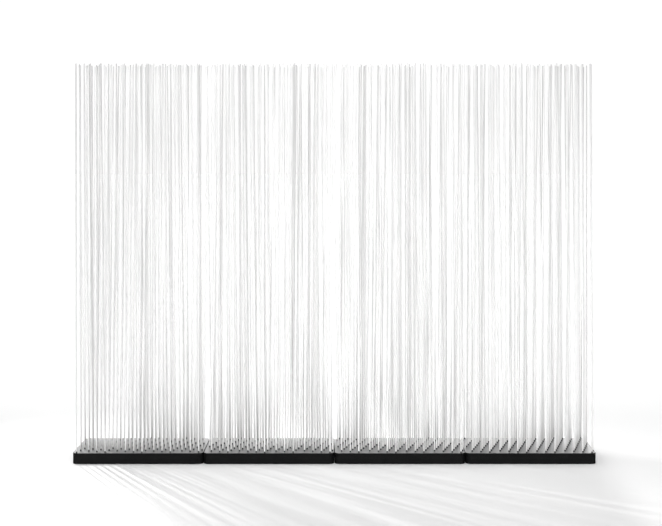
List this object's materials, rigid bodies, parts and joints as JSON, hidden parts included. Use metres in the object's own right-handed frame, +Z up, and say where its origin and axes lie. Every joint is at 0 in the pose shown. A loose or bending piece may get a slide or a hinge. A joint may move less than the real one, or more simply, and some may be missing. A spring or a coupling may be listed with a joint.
{
  "type": "stick room divider",
  "caption": "Free-standing room divider: a row of low rubber slab bases, each planted with a field of thin upright sticks that lean a little and sway.",
  "frame": {"origin": "on the floor, under the middle of the row of bases", "axes": "+X to the right along the row, +Y to the back, away from the viewer, +Z up"},
  "size_m": [2.41, 0.318, 1.8423],
  "materials": {
    "rubber": "moulded black rubber, satin, faintly grained",
    "sticks": "white glass-fibre rod, smooth, half gloss, slightly translucent"
  },
  "bodies": {
    "base_1": {"base_1": "rubber"},
    "base_2": {"base_2": "rubber"},
    "base_3": {"base_3": "rubber"},
    "base_4": {"base_4": "rubber"},
    "stick_row_1_01": {"stick_row_1_01": "sticks"},
    "stick_row_1_02": {"stick_row_1_02": "sticks"},
    "stick_row_1_03": {"stick_row_1_03": "sticks"},
    "stick_row_1_04": {"stick_row_1_04": "sticks"},
    "stick_row_1_05": {"stick_row_1_05": "sticks"},
    "stick_row_1_06": {"stick_row_1_06": "sticks"},
    "stick_row_1_07": {"stick_row_1_07": "sticks"},
    "stick_row_1_08": {"stick_row_1_08": "sticks"},
    "stick_row_1_09": {"stick_row_1_09": "sticks"},
    "stick_row_1_10": {"stick_row_1_10": "sticks"},
    "stick_row_1_11": {"stick_row_1_11": "sticks"},
    "stick_row_2_01": {"stick_row_2_01": "sticks"},
    "stick_row_2_02": {"stick_row_2_02": "sticks"},
    "stick_row_2_03": {"stick_row_2_03": "sticks"},
    "stick_row_2_04": {"stick_row_2_04": "sticks"},
    "stick_row_2_05": {"stick_row_2_05": "sticks"},
    "stick_row_2_06": {"stick_row_2_06": "sticks"},
    "stick_row_2_07": {"stick_row_2_07": "sticks"},
    "stick_row_2_08": {"stick_row_2_08": "sticks"},
    "stick_row_2_09": {"stick_row_2_09": "sticks"},
    "stick_row_2_10": {"stick_row_2_10": "sticks"},
    "stick_row_2_11": {"stick_row_2_11": "sticks"},
    "stick_row_3_01": {"stick_row_3_01": "sticks"},
    "stick_row_3_02": {"stick_row_3_02": "sticks"},
    "stick_row_3_03": {"stick_row_3_03": "sticks"},
    "stick_row_3_04": {"stick_row_3_04": "sticks"},
    "stick_row_3_05": {"stick_row_3_05": "sticks"},
    "stick_row_3_06": {"stick_row_3_06": "sticks"},
    "stick_row_3_07": {"stick_row_3_07": "sticks"},
    "stick_row_3_08": {"stick_row_3_08": "sticks"},
    "stick_row_3_09": {"stick_row_3_09": "sticks"},
    "stick_row_3_10": {"stick_row_3_10": "sticks"},
    "stick_row_3_11": {"stick_row_3_11": "sticks"},
    "stick_row_4_01": {"stick_row_4_01": "sticks"},
    "stick_row_4_02": {"stick_row_4_02": "sticks"},
    "stick_row_4_03": {"stick_row_4_03": "sticks"},
    "stick_row_4_04": {"stick_row_4_04": "sticks"},
    "stick_row_4_05": {"stick_row_4_05": "sticks"},
    "stick_row_4_06": {"stick_row_4_06": "sticks"},
    "stick_row_4_07": {"stick_row_4_07": "sticks"},
    "stick_row_4_08": {"stick_row_4_08": "sticks"},
    "stick_row_4_09": {"stick_row_4_09": "sticks"},
    "stick_row_4_10": {"stick_row_4_10": "sticks"},
    "stick_row_4_11": {"stick_row_4_11": "sticks"}
  },
  "joints": [
    {"name": "draw_apart_1_2", "type": "slide", "parent": "base_1", "child": "base_2", "axis": [1, 0, 0], "range_m": [0, 0.25]},
    {"name": "draw_apart_2_3", "type": "slide", "parent": "base_2", "child": "base_3", "axis": [1, 0, 0], "range_m": [0, 0.25]},
    {"name": "draw_apart_3_4", "type": "slide", "parent": "base_3", "child": "base_4", "axis": [1, 0, 0], "range_m": [0, 0.25]},
    {"name": "sway_1_01", "type": "hinge", "parent": "base_1", "child": "stick_row_1_01", "pos_m": [-0.67661, 0.13282, 0.018], "axis": [-0.9615, 0.2748, 0], "range_deg": [-1.5, 1.5], "stiffness_Nm_per_rad": 9.6},
    {"name": "sway_1_02", "type": "hinge", "parent": "base_1", "child": "stick_row_1_02", "pos_m": [-0.76716, 0.11585, 0.018], "axis": [-0.9615, 0.2748, 0], "range_deg": [-1.5, 1.5], "stiffness_Nm_per_rad": 22.4},
    {"name": "sway_1_03", "type": "hinge", "parent": "base_1", "child": "stick_row_1_03", "pos_m": [-0.8181, 0.08756, 0.018], "axis": [-0.9615, 0.2748, 0], "range_deg": [-1.5, 1.5], "stiffness_Nm_per_rad": 35.2},
    {"name": "sway_1_04", "type": "hinge", "parent": "base_1", "child": "stick_row_1_04", "pos_m": [-0.90865, 0.07059, 0.018], "axis": [-0.9615, 0.2748, 0], "range_deg": [-1.5, 1.5], "stiffness_Nm_per_rad": 48},
    {"name": "sway_1_05", "type": "hinge", "parent": "base_1", "child": "stick_row_1_05", "pos_m": [-0.91997, 0.03097, 0.018], "axis": [-0.9615, 0.2748, 0], "range_deg": [-1.5, 1.5], "stiffness_Nm_per_rad": 48},
    {"name": "sway_1_06", "type": "hinge", "parent": "base_1", "child": "stick_row_1_06", "pos_m": [-0.89168, -0.01996, 0.018], "axis": [-0.9615, 0.2748, 0], "range_deg": [-1.5, 1.5], "stiffness_Nm_per_rad": 48},
    {"name": "sway_1_07", "type": "hinge", "parent": "base_1", "child": "stick_row_1_07", "pos_m": [-0.903, -0.05958, 0.018], "axis": [-0.9615, 0.2748, 0], "range_deg": [-1.5, 1.5], "stiffness_Nm_per_rad": 48},
    {"name": "sway_1_08", "type": "hinge", "parent": "base_1", "child": "stick_row_1_08", "pos_m": [-0.99355, -0.07655, 0.018], "axis": [-0.9615, 0.2748, 0], "range_deg": [-1.5, 1.5], "stiffness_Nm_per_rad": 38.4},
    {"name": "sway_1_09", "type": "hinge", "parent": "base_1", "child": "stick_row_1_09", "pos_m": [-1.04449, -0.10484, 0.018], "axis": [-0.9615, 0.2748, 0], "range_deg": [-1.5, 1.5], "stiffness_Nm_per_rad": 25.6},
    {"name": "sway_1_10", "type": "hinge", "parent": "base_1", "child": "stick_row_1_10", "pos_m": [-1.13503, -0.12181, 0.018], "axis": [-0.9615, 0.2748, 0], "range_deg": [-1.5, 1.5], "stiffness_Nm_per_rad": 12.8},
    {"name": "sway_1_11", "type": "hinge", "parent": "base_1", "child": "stick_row_1_11", "pos_m": [-1.18597, -0.1501, 0.018], "axis": [-0.9615, 0.2748, 0], "range_deg": [-1.5, 1.5], "stiffness_Nm_per_rad": 3.2},
    {"name": "sway_2_01", "type": "hinge", "parent": "base_2", "child": "stick_row_2_01", "pos_m": [-0.52939, -0.13282, 0.018], "axis": [-0.9615, 0.2748, 0], "range_deg": [-1.5, 1.5], "stiffness_Nm_per_rad": 9.6},
    {"name": "sway_2_02", "type": "hinge", "parent": "base_2", "child": "stick_row_2_02", "pos_m": [-0.43884, -0.11585, 0.018], "axis": [-0.9615, 0.2748, 0], "range_deg": [-1.5, 1.5], "stiffness_Nm_per_rad": 22.4},
    {"name": "sway_2_03", "type": "hinge", "parent": "base_2", "child": "stick_row_2_03", "pos_m": [-0.3879, -0.08756, 0.018], "axis": [-0.9615, 0.2748, 0], "range_deg": [-1.5, 1.5], "stiffness_Nm_per_rad": 35.2},
    {"name": "sway_2_04", "type": "hinge", "parent": "base_2", "child": "stick_row_2_04", "pos_m": [-0.29735, -0.07059, 0.018], "axis": [-0.9615, 0.2748, 0], "range_deg": [-1.5, 1.5], "stiffness_Nm_per_rad": 48},
    {"name": "sway_2_05", "type": "hinge", "parent": "base_2", "child": "stick_row_2_05", "pos_m": [-0.28603, -0.03097, 0.018], "axis": [-0.9615, 0.2748, 0], "range_deg": [-1.5, 1.5], "stiffness_Nm_per_rad": 48},
    {"name": "sway_2_06", "type": "hinge", "parent": "base_2", "child": "stick_row_2_06", "pos_m": [-0.31432, 0.01996, 0.018], "axis": [-0.9615, 0.2748, 0], "range_deg": [-1.5, 1.5], "stiffness_Nm_per_rad": 48},
    {"name": "sway_2_07", "type": "hinge", "parent": "base_2", "child": "stick_row_2_07", "pos_m": [-0.303, 0.05958, 0.018], "axis": [-0.9615, 0.2748, 0], "range_deg": [-1.5, 1.5], "stiffness_Nm_per_rad": 48},
    {"name": "sway_2_08", "type": "hinge", "parent": "base_2", "child": "stick_row_2_08", "pos_m": [-0.21245, 0.07655, 0.018], "axis": [-0.9615, 0.2748, 0], "range_deg": [-1.5, 1.5], "stiffness_Nm_per_rad": 38.4},
    {"name": "sway_2_09", "type": "hinge", "parent": "base_2", "child": "stick_row_2_09", "pos_m": [-0.16151, 0.10484, 0.018], "axis": [-0.9615, 0.2748, 0], "range_deg": [-1.5, 1.5], "stiffness_Nm_per_rad": 25.6},
    {"name": "sway_2_10", "type": "hinge", "parent": "base_2", "child": "stick_row_2_10", "pos_m": [-0.07097, 0.12181, 0.018], "axis": [-0.9615, 0.2748, 0], "range_deg": [-1.5, 1.5], "stiffness_Nm_per_rad": 12.8},
    {"name": "sway_2_11", "type": "hinge", "parent": "base_2", "child": "stick_row_2_11", "pos_m": [-0.02003, 0.1501, 0.018], "axis": [-0.9615, 0.2748, 0], "range_deg": [-1.5, 1.5], "stiffness_Nm_per_rad": 3.2},
    {"name": "sway_3_01", "type": "hinge", "parent": "base_3", "child": "stick_row_3_01", "pos_m": [0.07361, -0.13282, 0.018], "axis": [-0.9615, 0.2748, 0], "range_deg": [-1.5, 1.5], "stiffness_Nm_per_rad": 9.6},
    {"name": "sway_3_02", "type": "hinge", "parent": "base_3", "child": "stick_row_3_02", "pos_m": [0.16416, -0.11585, 0.018], "axis": [-0.9615, 0.2748, 0], "range_deg": [-1.5, 1.5], "stiffness_Nm_per_rad": 22.4},
    {"name": "sway_3_03", "type": "hinge", "parent": "base_3", "child": "stick_row_3_03", "pos_m": [0.2151, -0.08756, 0.018], "axis": [-0.9615, 0.2748, 0], "range_deg": [-1.5, 1.5], "stiffness_Nm_per_rad": 35.2},
    {"name": "sway_3_04", "type": "hinge", "parent": "base_3", "child": "stick_row_3_04", "pos_m": [0.30565, -0.07059, 0.018], "axis": [-0.9615, 0.2748, 0], "range_deg": [-1.5, 1.5], "stiffness_Nm_per_rad": 48},
    {"name": "sway_3_05", "type": "hinge", "parent": "base_3", "child": "stick_row_3_05", "pos_m": [0.31697, -0.03097, 0.018], "axis": [-0.9615, 0.2748, 0], "range_deg": [-1.5, 1.5], "stiffness_Nm_per_rad": 48},
    {"name": "sway_3_06", "type": "hinge", "parent": "base_3", "child": "stick_row_3_06", "pos_m": [0.28868, 0.01996, 0.018], "axis": [-0.9615, 0.2748, 0], "range_deg": [-1.5, 1.5], "stiffness_Nm_per_rad": 48},
    {"name": "sway_3_07", "type": "hinge", "parent": "base_3", "child": "stick_row_3_07", "pos_m": [0.3, 0.05958, 0.018], "axis": [-0.9615, 0.2748, 0], "range_deg": [-1.5, 1.5], "stiffness_Nm_per_rad": 48},
    {"name": "sway_3_08", "type": "hinge", "parent": "base_3", "child": "stick_row_3_08", "pos_m": [0.39055, 0.07655, 0.018], "axis": [-0.9615, 0.2748, 0], "range_deg": [-1.5, 1.5], "stiffness_Nm_per_rad": 38.4},
    {"name": "sway_3_09", "type": "hinge", "parent": "base_3", "child": "stick_row_3_09", "pos_m": [0.44149, 0.10484, 0.018], "axis": [-0.9615, 0.2748, 0], "range_deg": [-1.5, 1.5], "stiffness_Nm_per_rad": 25.6},
    {"name": "sway_3_10", "type": "hinge", "parent": "base_3", "child": "stick_row_3_10", "pos_m": [0.53203, 0.12181, 0.018], "axis": [-0.9615, 0.2748, 0], "range_deg": [-1.5, 1.5], "stiffness_Nm_per_rad": 12.8},
    {"name": "sway_3_11", "type": "hinge", "parent": "base_3", "child": "stick_row_3_11", "pos_m": [0.58297, 0.1501, 0.018], "axis": [-0.9615, 0.2748, 0], "range_deg": [-1.5, 1.5], "stiffness_Nm_per_rad": 3.2},
    {"name": "sway_4_01", "type": "hinge", "parent": "base_4", "child": "stick_row_4_01", "pos_m": [0.67661, -0.13282, 0.018], "axis": [-0.9615, 0.2748, 0], "range_deg": [-1.5, 1.5], "stiffness_Nm_per_rad": 9.6},
    {"name": "sway_4_02", "type": "hinge", "parent": "base_4", "child": "stick_row_4_02", "pos_m": [0.76716, -0.11585, 0.018], "axis": [-0.9615, 0.2748, 0], "range_deg": [-1.5, 1.5], "stiffness_Nm_per_rad": 22.4},
    {"name": "sway_4_03", "type": "hinge", "parent": "base_4", "child": "stick_row_4_03", "pos_m": [0.8181, -0.08756, 0.018], "axis": [-0.9615, 0.2748, 0], "range_deg": [-1.5, 1.5], "stiffness_Nm_per_rad": 35.2},
    {"name": "sway_4_04", "type": "hinge", "parent": "base_4", "child": "stick_row_4_04", "pos_m": [0.90865, -0.07059, 0.018], "axis": [-0.9615, 0.2748, 0], "range_deg": [-1.5, 1.5], "stiffness_Nm_per_rad": 48},
    {"name": "sway_4_05", "type": "hinge", "parent": "base_4", "child": "stick_row_4_05", "pos_m": [0.91997, -0.03097, 0.018], "axis": [-0.9615, 0.2748, 0], "range_deg": [-1.5, 1.5], "stiffness_Nm_per_rad": 48},
    {"name": "sway_4_06", "type": "hinge", "parent": "base_4", "child": "stick_row_4_06", "pos_m": [0.89168, 0.01996, 0.018], "axis": [-0.9615, 0.2748, 0], "range_deg": [-1.5, 1.5], "stiffness_Nm_per_rad": 48},
    {"name": "sway_4_07", "type": "hinge", "parent": "base_4", "child": "stick_row_4_07", "pos_m": [0.903, 0.05958, 0.018], "axis": [-0.9615, 0.2748, 0], "range_deg": [-1.5, 1.5], "stiffness_Nm_per_rad": 48},
    {"name": "sway_4_08", "type": "hinge", "parent": "base_4", "child": "stick_row_4_08", "pos_m": [0.99355, 0.07655, 0.018], "axis": [-0.9615, 0.2748, 0], "range_deg": [-1.5, 1.5], "stiffness_Nm_per_rad": 38.4},
    {"name": "sway_4_09", "type": "hinge", "parent": "base_4", "child": "stick_row_4_09", "pos_m": [1.04449, 0.10484, 0.018], "axis": [-0.9615, 0.2748, 0], "range_deg": [-1.5, 1.5], "stiffness_Nm_per_rad": 25.6},
    {"name": "sway_4_10", "type": "hinge", "parent": "base_4", "child": "stick_row_4_10", "pos_m": [1.13503, 0.12181, 0.018], "axis": [-0.9615, 0.2748, 0], "range_deg": [-1.5, 1.5], "stiffness_Nm_per_rad": 12.8},
    {"name": "sway_4_11", "type": "hinge", "parent": "base_4", "child": "stick_row_4_11", "pos_m": [1.18597, 0.1501, 0.018], "axis": [-0.9615, 0.2748, 0], "range_deg": [-1.5, 1.5], "stiffness_Nm_per_rad": 3.2}
  ],
  "couplings": [
    {"joint": "sway_1_01", "follows": "sway_1_05", "ratio": 1},
    {"joint": "sway_1_02", "follows": "sway_1_05", "ratio": 1},
    {"joint": "sway_1_03", "follows": "sway_1_05", "ratio": 1},
    {"joint": "sway_1_04", "follows": "sway_1_05", "ratio": 1},
    {"joint": "sway_1_06", "follows": "sway_1_05", "ratio": 1},
    {"joint": "sway_1_07", "follows": "sway_1_05", "ratio": 1},
    {"joint": "sway_1_08", "follows": "sway_1_05", "ratio": 1},
    {"joint": "sway_1_09", "follows": "sway_1_05", "ratio": 1},
    {"joint": "sway_1_10", "follows": "sway_1_05", "ratio": 1},
    {"joint": "sway_1_11", "follows": "sway_1_05", "ratio": 1},
    {"joint": "sway_2_01", "follows": "sway_1_05", "ratio": 1},
    {"joint": "sway_2_02", "follows": "sway_1_05", "ratio": 1},
    {"joint": "sway_2_03", "follows": "sway_1_05", "ratio": 1},
    {"joint": "sway_2_04", "follows": "sway_1_05", "ratio": 1},
    {"joint": "sway_2_05", "follows": "sway_1_05", "ratio": 1},
    {"joint": "sway_2_06", "follows": "sway_1_05", "ratio": 1},
    {"joint": "sway_2_07", "follows": "sway_1_05", "ratio": 1},
    {"joint": "sway_2_08", "follows": "sway_1_05", "ratio": 1},
    {"joint": "sway_2_09", "follows": "sway_1_05", "ratio": 1},
    {"joint": "sway_2_10", "follows": "sway_1_05", "ratio": 1},
    {"joint": "sway_2_11", "follows": "sway_1_05", "ratio": 1},
    {"joint": "sway_3_01", "follows": "sway_1_05", "ratio": 1},
    {"joint": "sway_3_02", "follows": "sway_1_05", "ratio": 1},
    {"joint": "sway_3_03", "follows": "sway_1_05", "ratio": 1},
    {"joint": "sway_3_04", "follows": "sway_1_05", "ratio": 1},
    {"joint": "sway_3_05", "follows": "sway_1_05", "ratio": 1},
    {"joint": "sway_3_06", "follows": "sway_1_05", "ratio": 1},
    {"joint": "sway_3_07", "follows": "sway_1_05", "ratio": 1},
    {"joint": "sway_3_08", "follows": "sway_1_05", "ratio": 1},
    {"joint": "sway_3_09", "follows": "sway_1_05", "ratio": 1},
    {"joint": "sway_3_10", "follows": "sway_1_05", "ratio": 1},
    {"joint": "sway_3_11", "follows": "sway_1_05", "ratio": 1},
    {"joint": "sway_4_01", "follows": "sway_1_05", "ratio": 1},
    {"joint": "sway_4_02", "follows": "sway_1_05", "ratio": 1},
    {"joint": "sway_4_03", "follows": "sway_1_05", "ratio": 1},
    {"joint": "sway_4_04", "follows": "sway_1_05", "ratio": 1},
    {"joint": "sway_4_05", "follows": "sway_1_05", "ratio": 1},
    {"joint": "sway_4_06", "follows": "sway_1_05", "ratio": 1},
    {"joint": "sway_4_07", "follows": "sway_1_05", "ratio": 1},
    {"joint": "sway_4_08", "follows": "sway_1_05", "ratio": 1},
    {"joint": "sway_4_09", "follows": "sway_1_05", "ratio": 1},
    {"joint": "sway_4_10", "follows": "sway_1_05", "ratio": 1},
    {"joint": "sway_4_11", "follows": "sway_1_05", "ratio": 1}
  ]
}
